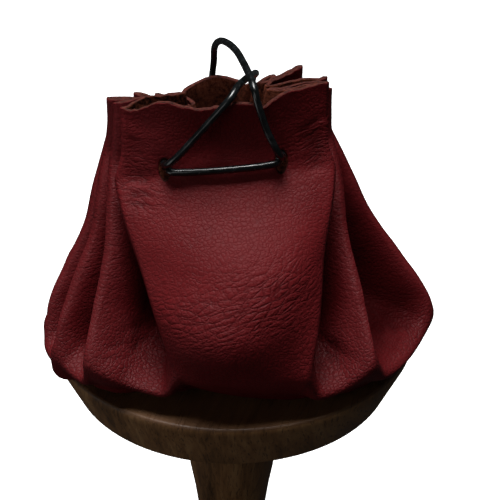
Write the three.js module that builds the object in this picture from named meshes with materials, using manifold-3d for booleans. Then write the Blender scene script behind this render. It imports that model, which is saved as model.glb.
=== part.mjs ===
// A drawstring pouch gathered from one round piece of soft leather, standing on a turned wooden stand.
// Millimetres. +Z is up, -Y is the front, and the origin is the middle of the stand's foot on the table.
import * as THREE from "three";
import { mergeVertices } from "three/addons/utils/BufferGeometryUtils.js";
import Module from "manifold-3d";

const wasm = await Module();
wasm.setup();

// One row per column-named record.
function table(columns, rows) {
  return rows.map((row) => Object.fromEntries(columns.map((name, i) => [name, row[i]])));
}

// Driving dimensions
const LEATHER = { thickness: 1.2, seatGap: 0.3 };
const LACE = { diameter: 2, sides: 8, holeDiameter: 3.6, holeSides: 8 };
const STAND = {
  height: 125,
  topRadius: 54,
  topEdge: 17,
  undersideRadius: 51,
  edgeRound: 1.2,
  fitGap: 0.3,
  footRadius: 40,
  footEdge: 9,
  sides: 32,
};

// The post's turned outline. rise is the share of the way up from the foot to the top.
const POST = table(
  ["rise", "radius"],
  [
    [0, 14],
    [0.12, 11.6],
    [0.3, 10.2],
    [0.5, 12.2],
    [0.66, 14.5],
    [1, 17.3],
  ],
);

// The neck sits a little left of and before the stand's axis, and its right side is drawn up higher.
const NECK = { x: -2, y: -3, tilt: 0.07 };

const COLOURS = { leather: 0x5c1c20, lace: 0x14181a, wood: 0x4a3420 };

// Sections of the leather from the middle of its base to its rim. ridge and valley are the radii at the
// folds' crests and troughs, and each z is a height above the stand. bulge is how far the front panel stands
// before the chord between its edges, skew how much more of that it does on its right, gather runs from 0 at
// the belly to 1 at the drawn neck, steep squares the folds up, and crisp sharpens their crests.
const LEVELS = table(
  ["name", "ridge", "ridgeZ", "valley", "valleyZ", "bulge", "skew", "bulgeZ", "gather", "steep", "crisp"],
  [
    ["base_middle", 26, 0, 26, 0, 1.2, 0, 0, 0, 1, 0],
    ["base_edge", 50, 0, 49.4, 0, 0.6, 0, 0, 0, 1, 0],
    ["turn", 55, 3.4, 54.4, 3.4, 2.4, 0, 0, 0, 1, 0.1],
    ["belly", 59.5, 13.5, 57, 6.8, 2.2, -0.5, 0, 0, 1.1, 0.5],
    ["hip", 50.6, 27.5, 30, 15, 10.8, -0.25, 0, 0.28, 1.3, 0.85],
    ["slope", 40.6, 41, 20.5, 32.5, 11.4, 0.45, 0.4, 0.54, 1.6, 0.85],
    ["shoulder", 34.8, 53.5, 14.5, 49.5, 3.4, 0.2, 0.6, 0.79, 2.2, 0.6],
    ["lace", 30.2, 64, 11.5, 63, 3.2, 0, 0.6, 1, 2.8, 0.3],
    ["collar", 29.4, 73.4, 11.5, 72.4, 3.4, 0, 0.4, 1, 2.6, 0.3],
    ["rim", 29.4, 82.4, 12.5, 80.6, 4.2, 0, 0, 1, 2.2, 0.3],
  ],
);
const EDGE_LEVEL = LEVELS.findIndex((level) => level.name === "base_edge");
const LACE_LEVEL = LEVELS.findIndex((level) => level.name === "lace");
const BELLY_LEVEL = LEVELS.findIndex((level) => level.name === "belly");
const TURN_LEVEL = LEVELS.findIndex((level) => level.name === "turn");

// The folds' crests, in turn from the front panel's right edge, round the back, to its left edge. Azimuths
// are degrees from the front, towards the right. flare is how much wider a crest stands at the lace than at
// the rim, share is how much of the way to the trough it fills, lie is where the trough after it lies between
// this crest (0) and the next (1), and early is how soon the fold gathers, against the others.
const FOLD_COLUMNS = [
  "name",
  "bellyAzimuth",
  "neckAzimuth",
  "baseRadius",
  "bellyRadius",
  "neckRadius",
  "flare",
  "rimLift",
  "share",
  "lie",
  "early",
];
const FOLDS = table(FOLD_COLUMNS, [
  ["right_edge", 21, 60, 48, 56.5, 33, 0, 0, 0.45, 0.32, 1.08],
  ["right_second", 40, 84, 53.5, 60.5, 30.5, 0, -6, 0.36, 0.34, 1],
  ["right_third", 77, 105, 59.5, 60.6, 30.8, 0, -6.5, 0.2, 0.4, 1],
  ["right_fourth", 104, 121, 55, 55, 26.5, 0, -4.5, 0.5, 0.45, 1],
  ["right_fifth", 128, 132, 54, 55, 25.5, 0, -8, 0.45, 0.5, 1],
  ["right_back", 153, 144, 54, 55, 25, 0, -10, 0.45, 0.2, 1],
  ["back", 187, 196, 54, 54.5, 22.5, 0, -11, 0.8, 0.88, 1],
  ["left_back", 222, 234, 53, 54, 25.5, 0, -11.5, 0.5, 0.5, 1],
  ["left_fifth", 257, 250, 53, 52.5, 28.5, 0, -10, 0.5, 0.55, 1],
  ["left_fourth", 290, 263, 58, 57, 34.4, 0.8, -7.5, 0.35, 0.6, 1],
  ["left_third", 304, 274, 61, 59.5, 33.6, 0.8, -6, 0.3, 0.7, 1],
  ["left_second", 319, 287, 54, 61, 32.8, 0.7, -4, 0.4, 0.68, 1],
  ["left_edge", 343, 301, 45.5, 53.5, 31.5, 0, 0, 0.45, 0.5, 1.08],
]);

// Places along half a fold, from its crest (0) to its trough (1), and across the front panel (-1 to 1).
const FOLD_STEPS = [0, 0.14, 0.5, 0.86];
const PANEL_STEPS = [-0.75, -0.5, -0.25, 0, 0.25, 0.5, 0.75];
// The places between the sections, as row numbers of their table, where the wall has a ring of corners.
const RINGS = [0, 1, 1.5, 2, 2.5, 3, 3.3, 3.65, 4, 4.5, 5, 6, 7, 8, 9];

// The drawstring runs twice round the neck through the holes, as a pair that twists half a turn about each
// other, and crosses once outside the front panel. rise is each strand's distance from the pair's middle.
const HOLES = { leftX: -18.1, rightX: 13.4, panelY: -22, z: 63.6, rise: 1.2, inside: 4 };
const FRONT_RUN = { outside: 3.75, corner: 1.8, bow: 0.9, rise: -0.8 };
const TURN = { radius: 16, steps: 8, startY: -13 };

// The free pull loop, point by point: out of the left hole, up over the front rim, down behind the neck, and
// back over the top to the right hole. Heights are above the stand's top.
const LOOP_POINTS = [
  [-18.1, -18.3, 63.7],
  [-18.1, -22.8, 63.8],
  [-16.6, -24.9, 65.8],
  [-10.2, -24.9, 72.8],
  [-4.4, -25.4, 79.6],
  [-0.4, -25, 84.4],
  [1.6, -21, 85.8],
  [3.6, -15, 85.6],
  [5.4, -7, 83.4],
  [6.6, 1, 80.8],
  [6.8, 8.4, 78.2],
  [6.4, 14.8, 75],
  [5.8, 19.8, 68],
  [7.4, 25.8, 57],
  [10, 34, 46],
  [9.4, 42, 37.2],
  [5, 48.2, 31.4],
  [-1, 50, 29.8],
  [-7, 46.6, 33],
  [-9.4, 39, 40],
  [-9, 31, 49.4],
  [-7.8, 26, 59],
  [-6.4, 23.8, 68],
  [-5.4, 22.2, 76],
  [-5, 17.8, 82.6],
  [-3.2, 11.2, 86.4],
  [-0.4, 4.4, 88],
  [2.4, -2.6, 88],
  [4.8, -9.6, 87.4],
  [7, -18, 86.6],
  [8.6, -24.4, 85.2],
  [9.9, -24.7, 80.4],
  [11.5, -24.2, 73.8],
  [12.9, -24.6, 68.8],
  [13.4, -23.1, 66.1],
  [13.4, -18.3, 65.9],
];

const DEGREE = Math.PI / 180;

// A smooth value of one column between the table's rows, at a whole or part row number.
function along(rows, column, t) {
  const last = rows.length - 1;
  const i = Math.min(Math.floor(t), last - 1);
  const f = t - i;
  const value = (k) => rows[Math.max(0, Math.min(last, k))][column];
  const [a, b, c, d] = [value(i - 1), value(i), value(i + 1), value(i + 2)];
  const [slopeB, slopeC] = [(c - a) / 2, (d - b) / 2];
  const ff = f * f;
  const fff = ff * f;
  return (
    b * (2 * fff - 3 * ff + 1) + slopeB * (fff - 2 * ff + f) + c * (3 * ff - 2 * fff) + slopeC * (fff - ff)
  );
}

// The named columns of the sections at a whole or part row number.
function levelAt(t) {
  return Object.fromEntries(Object.keys(LEVELS[0]).slice(1).map((name) => [name, along(LEVELS, name, t)]));
}

// A point at an azimuth and radius about the pouch's axis, which leans to the neck as the leather gathers.
function polar(level, azimuth, radius, z) {
  const lean = Math.min(1, level.gather);
  const x = NECK.x * lean + radius * Math.sin(azimuth * DEGREE);
  const y = NECK.y * lean - radius * Math.cos(azimuth * DEGREE);
  return new THREE.Vector3(x, y, z + NECK.tilt * lean * (x - NECK.x));
}

// How far a level is past the hole line, from 0 there to 1 at the rim.
function pastLace(t) {
  return Math.max(0, (t - LACE_LEVEL) / (LEVELS.length - 1 - LACE_LEVEL));
}

// How near a level is to the hole line, from 1 there to 0 well above and below it.
function nearLace(t) {
  return Math.exp(-((t - LACE_LEVEL) ** 2));
}

// How far a fold is drawn in at a level, from 0 at the belly to 1 at the neck.
function drawn(fold, level) {
  return Math.min(1, level.gather * fold.early);
}

// How one fold's crest stands to the section's own radius, from the base up to the neck.
function crestScale(fold, level, t) {
  const base = fold.baseRadius / LEVELS[TURN_LEVEL].ridge;
  const belly = fold.bellyRadius / LEVELS[BELLY_LEVEL].ridge;
  const neck = fold.neckRadius / LEVELS[LACE_LEVEL].ridge;
  if (t < TURN_LEVEL) return 1 + (base - 1) * Math.min(1, t / EDGE_LEVEL);
  if (t < BELLY_LEVEL) return base + ((belly - base) * (t - TURN_LEVEL)) / (BELLY_LEVEL - TURN_LEVEL);
  return belly + (neck - belly) * drawn(fold, level);
}

// The crest of one fold at a level. Its plan is straight from the belly to the neck.
function crest(fold, level, t) {
  const mix = drawn(fold, level);
  const swing = (fold.neckAzimuth - fold.bellyAzimuth) * DEGREE;
  const ahead = (1 - mix) * fold.bellyRadius + mix * fold.neckRadius * Math.cos(swing);
  const aside = mix * fold.neckRadius * Math.sin(swing);
  return {
    azimuth: fold.bellyAzimuth + Math.atan2(aside, ahead) / DEGREE,
    radius: level.ridge * crestScale(fold, level, t) + fold.flare * nearLace(t),
    z: level.ridgeZ + fold.rimLift * (0.35 * mix + 0.65 * pastLace(t)),
  };
}

// The trough between two crests, from where it lies between them.
function troughOf(level, a, b, lie) {
  const between = (a.radius + (b.radius - a.radius) * lie) / level.ridge;
  return {
    azimuth: a.azimuth + (b.azimuth - a.azimuth) * lie,
    radius: level.valley * (between + (1 - between) * Math.min(1, level.gather)),
    z: level.valleyZ + (a.z + b.z) / 2 - level.ridgeZ,
  };
}

// The middle of the leather along one half fold, from its crest (step 0) to its trough (step 1).
function halfFold(level, top, trough, share, step) {
  const rounded = (1 + Math.cos(Math.PI * step)) / 2;
  const sharp = 1 - Math.sin((Math.PI * step) / 2);
  const height = rounded + (sharp - rounded) * level.crisp;
  const half = Math.abs(2 * step - 1);
  const nearCrest = share * (1 - half ** level.steep);
  const nearTrough = share + (1 - share) * half ** (level.steep * 1.4);
  const turn = step < 0.5 ? nearCrest : nearTrough;
  return polar(
    level,
    top.azimuth + (trough.azimuth - top.azimuth) * turn,
    trough.radius + (top.radius - trough.radius) * height,
    trough.z + (top.z - trough.z) * height,
  );
}

// One closed section of the leather's middle surface, anticlockwise from the front panel's right edge.
function section(t) {
  const level = levelAt(t);
  const crests = FOLDS.map((fold) => crest(fold, level, t));
  const points = [];
  for (let k = 0; k < FOLDS.length - 1; k++) {
    const [a, b] = [crests[k], crests[k + 1]];
    const trough = troughOf(level, a, b, FOLDS[k].lie);
    for (const step of FOLD_STEPS) points.push(halfFold(level, a, trough, FOLDS[k].share, step));
    for (const step of [1, ...FOLD_STEPS.slice(1).reverse()])
      points.push(halfFold(level, b, trough, FOLDS[k + 1].share, step));
  }
  const leftEdge = crests.at(-1);
  const rightEdge = crests[0];
  const left = polar(level, leftEdge.azimuth, leftEdge.radius, leftEdge.z);
  const right = polar(level, rightEdge.azimuth, rightEdge.radius, rightEdge.z);
  points.push(left);
  const forward = new THREE.Vector3(right.y - left.y, left.x - right.x, 0).normalize();
  for (const s of PANEL_STEPS) {
    const bow = 1 - s * s;
    const out = level.bulge * bow * (1 + level.skew * s);
    const point = left.clone().lerp(right, (s + 1) / 2).addScaledVector(forward, out);
    point.z += level.bulgeZ * bow;
    points.push(point);
  }
  return points;
}

// A closed wall of even thickness about a grid of rings that starts at one middle point.
function wall(middle, rings, thickness) {
  const width = rings[0].length;
  const points = [middle, ...rings.flat()];
  const at = (row, column) => 1 + row * width + (column % width);
  const faces = [];
  for (let i = 0; i < width; i++) faces.push([0, at(0, i + 1), at(0, i)]);
  for (let row = 0; row + 1 < rings.length; row++)
    for (let i = 0; i < width; i++) {
      const [a, b, c, d] = [at(row, i), at(row, i + 1), at(row + 1, i + 1), at(row + 1, i)];
      const across = points[a].distanceTo(points[c]) < points[b].distanceTo(points[d]);
      faces.push(...(across ? [[a, b, c], [a, c, d]] : [[a, b, d], [b, c, d]]));
    }
  const facing = faces.map(([a, b, c]) =>
    new THREE.Vector3()
      .subVectors(points[b], points[a])
      .cross(new THREE.Vector3().subVectors(points[c], points[a])),
  );
  const normals = points.map(() => new THREE.Vector3());
  faces.forEach((face, i) => face.forEach((p) => normals[p].add(facing[i])));
  normals.forEach((normal) => normal.normalize());
  const spread = points.map(() => ({ cosine: 0, count: 0 }));
  faces.forEach((face, i) =>
    face.forEach((p) => {
      spread[p].cosine += normals[p].dot(facing[i].clone().normalize());
      spread[p].count += 1;
    }),
  );
  const LEAST_COSINE = 0.7;
  const meanCosine = spread.map(({ cosine, count }) => cosine / count);
  const reach = meanCosine.map((cosine) => thickness / 2 / Math.max(LEAST_COSINE, cosine));
  const outer = points.map((point, p) => point.clone().addScaledVector(normals[p], reach[p]));
  const inner = points.map((point, p) => point.clone().addScaledVector(normals[p], -reach[p]));
  const count = points.length;
  const triangles = [...faces, ...faces.map(([a, b, c]) => [a + count, c + count, b + count])];
  const rim = rings.length - 1;
  for (let i = 0; i < width; i++) {
    const [a, b] = [at(rim, i), at(rim, i + 1)];
    triangles.push([a, b, b + count], [a, b + count, a + count]);
  }
  return geometryOf([...outer, ...inner], triangles);
}

function geometryOf(points, triangles) {
  const geometry = new THREE.BufferGeometry();
  const numbers = points.flatMap((p) => [p.x, p.y, p.z]);
  geometry.setAttribute("position", new THREE.Float32BufferAttribute(numbers, 3));
  geometry.setIndex(triangles.flat());
  return geometry;
}

// A closed geometry as a solid that can be cut.
function solidOf(geometry) {
  const bare = geometry.clone();
  bare.deleteAttribute("normal");
  bare.deleteAttribute("uv");
  const merged = mergeVertices(bare, 1e-4);
  return new wasm.Manifold(
    new wasm.Mesh({
      numProp: 3,
      vertProperties: merged.attributes.position.array,
      triVerts: new Uint32Array(merged.index.array),
    }),
  );
}

function geometryFrom(solid) {
  const mesh = solid.getMesh();
  const geometry = new THREE.BufferGeometry();
  geometry.setAttribute("position", new THREE.Float32BufferAttribute(mesh.vertProperties, 3));
  geometry.setIndex([...mesh.triVerts]);
  geometry.computeVertexNormals();
  return geometry;
}

// An open route that is divided at its own points, so a tube along it has a ring of corners at each of them.
class Route extends THREE.CatmullRomCurve3 {
  constructor(points) {
    super(points, false, "centripetal");
  }

  getPointAt(u, target) {
    return this.getPoint(u, target);
  }

  getTangentAt(u, target) {
    return this.getTangent(u, target);
  }
}

// A round tube along an open route.
function tube(points, diameter, sides) {
  const outline = new THREE.Shape(
    Array.from({ length: sides }, (_, i) => {
      const angle = (2 * Math.PI * i) / sides;
      return new THREE.Vector2(Math.cos(angle), Math.sin(angle)).multiplyScalar(diameter / 2);
    }),
  );
  return new THREE.ExtrudeGeometry(outline, {
    extrudePath: new Route(points),
    steps: points.length - 1,
    bevelEnabled: false,
    curveSegments: 1,
  });
}

// A point of the drawstring at its height on the tilted neck.
function lacePoint(x, y, rise) {
  return new THREE.Vector3(x, y, HOLES.z + rise + NECK.tilt * (x - NECK.x));
}

// One turn of the drawstring from the right hole, straight back, round behind the neck, to the left hole.
// The strand with side 1 starts above the pair's middle, passes outside it and ends below. -1 mirrors it.
function laceTurn(side, endY) {
  const middle = (HOLES.leftX + HOLES.rightX) / 2;
  const reach = (HOLES.rightX - HOLES.leftX) / 2;
  const rise = side * HOLES.rise;
  const points = [endY, TURN.startY].map((y) => lacePoint(HOLES.rightX, y, rise));
  for (let i = 0; i <= TURN.steps; i++) {
    const angle = (Math.PI * i) / TURN.steps;
    const out = rise * Math.sin(angle);
    points.push(
      lacePoint(
        middle + (reach + out) * Math.cos(angle),
        NECK.y + (TURN.radius + out) * Math.sin(angle),
        rise * Math.cos(angle),
      ),
    );
  }
  points.push(...[TURN.startY, endY].map((y) => lacePoint(HOLES.leftX, y, -rise)));
  return points;
}

// The whole threaded stretch: first turn, out of the left hole, across the front, in again, second turn.
function threadedRoute() {
  const end = HOLES.panelY + HOLES.inside;
  const { outside, corner, bow, rise } = FRONT_RUN;
  const front = HOLES.panelY - outside;
  const middle = (HOLES.leftX + HOLES.rightX) / 2;
  return [
    ...laceTurn(1, end),
    lacePoint(HOLES.leftX, front + corner, rise),
    lacePoint(HOLES.leftX + corner, front, rise),
    lacePoint(middle, front - bow, rise),
    lacePoint(HOLES.rightX - corner, front, rise),
    lacePoint(HOLES.rightX, front + corner, rise),
    ...laceTurn(-1, end),
  ];
}

function loopRoute() {
  return LOOP_POINTS.map(([x, y, z]) => new THREE.Vector3(x, y, z));
}

function raised(geometry) {
  return geometry.translate(0, 0, STAND.height);
}

// The gathered leather, with the row of lace holes cut through its folds.
function pouchBody() {
  const seat = LEATHER.seatGap + LEATHER.thickness / 2;
  const rings = [];
  for (const place of RINGS) {
    const ring = section(place);
    ring.forEach((point) => (point.z += seat));
    rings.push(ring);
  }
  let leather = solidOf(wall(new THREE.Vector3(0, 0, seat), rings, LEATHER.thickness));
  const cutters = [1, -1].map((side) =>
    solidOf(tube(laceTurn(side, HOLES.panelY - HOLES.inside), LACE.holeDiameter, LACE.holeSides)),
  );
  for (const cutter of cutters) leather = leather.subtract(cutter);
  return raised(geometryFrom(leather));
}

function threadedLace() {
  return raised(tube(threadedRoute(), LACE.diameter, LACE.sides));
}

function pullLoop() {
  return raised(tube(loopRoute(), LACE.diameter, LACE.sides));
}

// A turned piece from its half outline, given as radius and height pairs from the axis and back to it.
function turned(outline) {
  return new THREE.LatheGeometry(
    outline.map(([radius, z]) => new THREE.Vector2(radius, z)),
    STAND.sides,
  ).rotateX(Math.PI / 2);
}

// The round top.
function standTop() {
  const { height, topRadius, topEdge, undersideRadius, edgeRound } = STAND;
  const under = height - topEdge;
  return turned([
    [0, under],
    [undersideRadius - edgeRound, under],
    [undersideRadius, under + edgeRound],
    [topRadius, height - edgeRound * 3],
    [topRadius, height - edgeRound],
    [topRadius - edgeRound, height],
    [0, height],
  ]);
}

// The waisted post.
function standPost() {
  const { height, topEdge, fitGap, footEdge } = STAND;
  const top = height - topEdge - fitGap;
  const bottom = footEdge + fitGap;
  const outline = POST.map(({ rise, radius }) => [radius, bottom + (top - bottom) * rise]);
  return turned([[0, bottom], ...outline, [0, top]]);
}

// The round foot.
function standFoot() {
  const { footRadius, footEdge, edgeRound } = STAND;
  return turned([
    [0, 0],
    [footRadius - edgeRound, 0],
    [footRadius, edgeRound],
    [footRadius, footEdge - edgeRound * 2],
    [footRadius - edgeRound * 2, footEdge],
    [0, footEdge],
  ]);
}

const leatherFinish = new THREE.MeshStandardMaterial({ color: COLOURS.leather, roughness: 0.55 });
const laceFinish = new THREE.MeshStandardMaterial({ color: COLOURS.lace, roughness: 0.3 });
const woodFinish = new THREE.MeshStandardMaterial({ color: COLOURS.wood, roughness: 0.6 });

function piece(name, geometry, material) {
  const mesh = new THREE.Mesh(geometry, material);
  mesh.name = name;
  return mesh;
}

const part = new THREE.Group();
part.add(
  piece("pouch_body", pouchBody(), leatherFinish),
  piece("lace_threaded", threadedLace(), laceFinish),
  piece("lace_loop", pullLoop(), laceFinish),
  piece("stand_top", standTop(), woodFinish),
  piece("stand_post", standPost(), woodFinish),
  piece("stand_foot", standFoot(), woodFinish),
);

export default part;
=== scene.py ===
"""A drawstring pouch gathered from one round piece of soft leather, standing on a turned wooden stand."""

import logging
import math
from dataclasses import dataclass, fields
from enum import Enum
from typing import Sequence

import bmesh
import bpy
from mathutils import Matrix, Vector, noise


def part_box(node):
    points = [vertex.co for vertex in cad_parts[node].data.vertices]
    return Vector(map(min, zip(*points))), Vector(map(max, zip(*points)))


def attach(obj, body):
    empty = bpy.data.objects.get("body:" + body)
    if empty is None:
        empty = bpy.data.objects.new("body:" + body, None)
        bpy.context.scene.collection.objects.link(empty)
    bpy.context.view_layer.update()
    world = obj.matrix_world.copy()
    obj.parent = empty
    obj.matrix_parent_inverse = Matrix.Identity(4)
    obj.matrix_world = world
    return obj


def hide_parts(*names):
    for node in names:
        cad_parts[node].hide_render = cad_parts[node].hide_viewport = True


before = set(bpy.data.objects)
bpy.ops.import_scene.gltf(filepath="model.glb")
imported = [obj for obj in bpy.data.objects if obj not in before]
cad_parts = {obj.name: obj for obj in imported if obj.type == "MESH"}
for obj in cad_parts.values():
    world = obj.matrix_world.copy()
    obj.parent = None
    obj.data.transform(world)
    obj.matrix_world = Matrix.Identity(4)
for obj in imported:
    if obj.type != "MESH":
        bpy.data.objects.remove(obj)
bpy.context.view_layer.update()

LOG = logging.getLogger("pouch")
MM = 0.001
IMAGE_WIDTH = 483
IMAGE_HEIGHT = 500
STAND_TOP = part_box("stand_top")[1][2] / MM

Triple = tuple[float, float, float]
Colour = tuple[float, float, float]
Socket = bpy.types.NodeSocket


class Slot(Enum):
    """The record's material slots."""

    LEATHER = "leather"
    LACE = "lace"
    WOOD = "wood"


class Relief(Enum):
    """The leather's fine reliefs, each with the attribute that holds how strong it is."""

    LEVEL = "level_creases"
    SLANT = "slanting_cushions"
    PEBBLE = "raised_pebbles"


class Grain(Enum):
    """How a turned piece's wood grain runs: the fineness of its streaks along x, y and z."""

    ACROSS = (1.0, 0.06, 0.2)
    UPRIGHT = (1.0, 1.0, 0.06)


class Side(Enum):
    """The leather's faces, by their places among its materials."""

    GRAIN = 0
    SUEDE = 1
    EDGE = 2


# Small tools


def clamp(value: float) -> float:
    """Returns a value held between 0 and 1."""
    return min(1.0, max(0.0, value))


def placed(point: Vector) -> Vector:
    """Returns a point in metres, from millimetres above the stand."""
    return (point + Vector((0, 0, STAND_TOP))) * MM


def deselect_all() -> None:
    """Leaves object mode with nothing selected."""
    if bpy.context.object and bpy.context.object.mode != "OBJECT":
        bpy.ops.object.mode_set(mode="OBJECT")
    bpy.ops.object.select_all(action="DESELECT")


def activate(piece: bpy.types.Object) -> None:
    """Makes one piece the only selected and active object.

    Args:
        piece: The piece.
    """
    deselect_all()
    piece.select_set(True)
    bpy.context.view_layer.objects.active = piece


def apply_modifier(piece: bpy.types.Object, modifier: bpy.types.Modifier) -> None:
    """Applies one modifier to its piece."""
    activate(piece)
    bpy.ops.object.modifier_apply(modifier=modifier.name)


def edit_all() -> None:
    """Enters edit mode on the active piece with all of it selected."""
    bpy.ops.object.mode_set(mode="EDIT")
    bpy.ops.mesh.select_all(action="SELECT")


def store(mesh: bpy.types.Mesh, name: str, values: Sequence[float]) -> None:
    """Keeps one value per point in a mesh, for its material to read."""
    mesh.attributes.new(name, "FLOAT", "POINT").data.foreach_set("value", values)


def hermite(values: Sequence[float], place: float) -> float:
    """Smooth value between the entries of a list.

    Args:
        values: The list.
        place: A whole or part index into it.

    Returns:
        The value of a smooth curve through the entries.
    """
    last = len(values) - 1
    index = min(int(place), last - 1)
    part = place - index
    a, b, c, d = (values[max(0, min(last, index + k))] for k in (-1, 0, 1, 2))
    rise_b, rise_c = (c - a) / 2, (d - b) / 2
    square, cube = part**2, part**3
    return (
        b * (2 * cube - 3 * square + 1)
        + rise_b * (cube - 2 * square + part)
        + c * (3 * square - 2 * cube)
        + rise_c * (cube - square)
    )


def bell(distance: float, reach: float) -> float:
    """Returns a soft bump of height 1 that fades out over a reach."""
    return math.exp(-((distance / reach) ** 2))


def ripple(point: Vector, waves: Sequence[tuple[float, float]]) -> float:
    """Returns soft unevenness at a point, from waves of a height and a size each."""
    return sum(height * noise.noise(point / size) for height, size in waves)


def path_length(points: Sequence[Vector]) -> float:
    """Returns the length of a path through points."""
    return sum((b - a).length for a, b in zip(points, points[1:]))


# Finishes


class Bench:
    """A new material and the means to wire its nodes."""

    # Places of the factor and the two colours, and of the mixed colour, among a mix node's sockets.
    MIX_INPUTS = (0, 6, 7)
    MIX_OUTPUT = 2

    def __init__(self, name: str) -> None:
        """Starts a material with one principled shader.

        Args:
            name: The material's name.
        """
        self.material = bpy.data.materials.new(name)
        self.material.use_nodes = True
        self.tree = self.material.node_tree
        self.shader = self.tree.nodes["Principled BSDF"]

    def add(self, kind: str, settings: dict | None = None, **inputs: object) -> bpy.types.Node:
        """Adds a node.

        Args:
            kind: The node's type name.
            settings: Attributes of the node.
            inputs: Values or output sockets for its inputs, with _ for each space in a name.

        Returns:
            The node.
        """
        node = self.tree.nodes.new(kind)
        for key, value in (settings or {}).items():
            setattr(node, key, value)
        for key, value in inputs.items():
            self.feed(node.inputs[key.replace("_", " ")], value)
        return node

    def feed(self, socket: Socket, value: object) -> None:
        """Gives an input socket a value, or links an output socket to it.

        Args:
            socket: The input socket.
            value: The value or the output socket.
        """
        if isinstance(value, Socket):
            self.tree.links.new(value, socket)
        else:
            socket.default_value = value

    def dress(self, **inputs: object) -> None:
        """Sets or links inputs of the shader, with _ for each space in a name."""
        for key, value in inputs.items():
            self.feed(self.shader.inputs[key.replace("_", " ")], value)

    def ramp(self, factor: Socket, *stops: tuple[float, Sequence[float]]) -> Socket:
        """Adds a colour ramp.

        Args:
            factor: The socket that drives it.
            stops: Positions and their colours.

        Returns:
            The ramp's colour socket.
        """
        node = self.add("ShaderNodeValToRGB", Fac=factor)
        elements = node.color_ramp.elements
        while len(elements) < len(stops):
            elements.new(0.5)
        for element, (position, colour) in zip(elements, stops):
            element.position = position
            element.color = (*colour, 1.0)
        return node.outputs["Color"]

    def grey_ramp(self, factor: Socket, *stops: tuple[float, float]) -> Socket:
        """Adds a ramp of grey values."""
        return self.ramp(factor, *((position, (value,) * 3) for position, value in stops))

    def math(self, operation: str, *values: object) -> Socket:
        """Adds a math node.

        Args:
            operation: The operation's name.
            values: Values or output sockets for its inputs.

        Returns:
            The node's output.
        """
        node = self.add("ShaderNodeMath", {"operation": operation})
        for socket, value in zip(node.inputs, values):
            self.feed(socket, value)
        return node.outputs[0]

    def mix(self, factor: object, first: object, second: object, blend: str = "MIX") -> Socket:
        """Adds a colour mix node.

        Args:
            factor: How much of the second colour there is.
            first: The first colour.
            second: The second colour.
            blend: How the second is laid on the first.

        Returns:
            The node's colour.
        """
        node = self.add("ShaderNodeMix", {"data_type": "RGBA", "blend_type": blend})
        for place, value in zip(self.MIX_INPUTS, (factor, first, second)):
            self.feed(node.inputs[place], value)
        return node.outputs[self.MIX_OUTPUT]

    def times(self, first: object, second: object) -> Socket:
        """Returns the product of two values or sockets."""
        return self.math("MULTIPLY", first, second)

    def blend(self, first: Socket, second: Socket, share: float) -> Socket:
        """Returns a blend of two values, from the share of the first."""
        return self.math("ADD", self.times(first, share), self.times(second, 1 - share))

    def position(self) -> Socket:
        """Returns the piece's own coordinates."""
        return self.add("ShaderNodeTexCoord").outputs["Object"]

    def mapped(self, place: Socket, **how: Triple) -> Socket:
        """Returns coordinates that are turned by a Rotation or stretched by a Scale."""
        return self.add("ShaderNodeMapping", Vector=place, **how).outputs["Vector"]

    def noise(self, place: Socket, scale: float, detail: float, roughness: float = 0.5) -> Socket:
        """Returns the value of a noise of some fineness."""
        node = self.add("ShaderNodeTexNoise", Vector=place, Scale=scale, Detail=detail, Roughness=roughness)
        return node.outputs["Fac"]

    def cells(self, place: Socket, scale: float) -> Socket:
        """Returns the distance from the edges of cells of some fineness."""
        node = self.add("ShaderNodeTexVoronoi", {"feature": "DISTANCE_TO_EDGE"}, Vector=place, Scale=scale)
        return node.outputs["Distance"]

    def bump(self, height: Socket, strength: float, depth: float) -> None:
        """Raises the shader's surface by a height.

        Args:
            height: The height's socket.
            strength: Share of the effect.
            depth: Depth in millimetres.
        """
        node = self.add("ShaderNodeBump", Height=height, Strength=strength, Distance=depth * MM)
        self.dress(Normal=node.outputs["Normal"])


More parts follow.
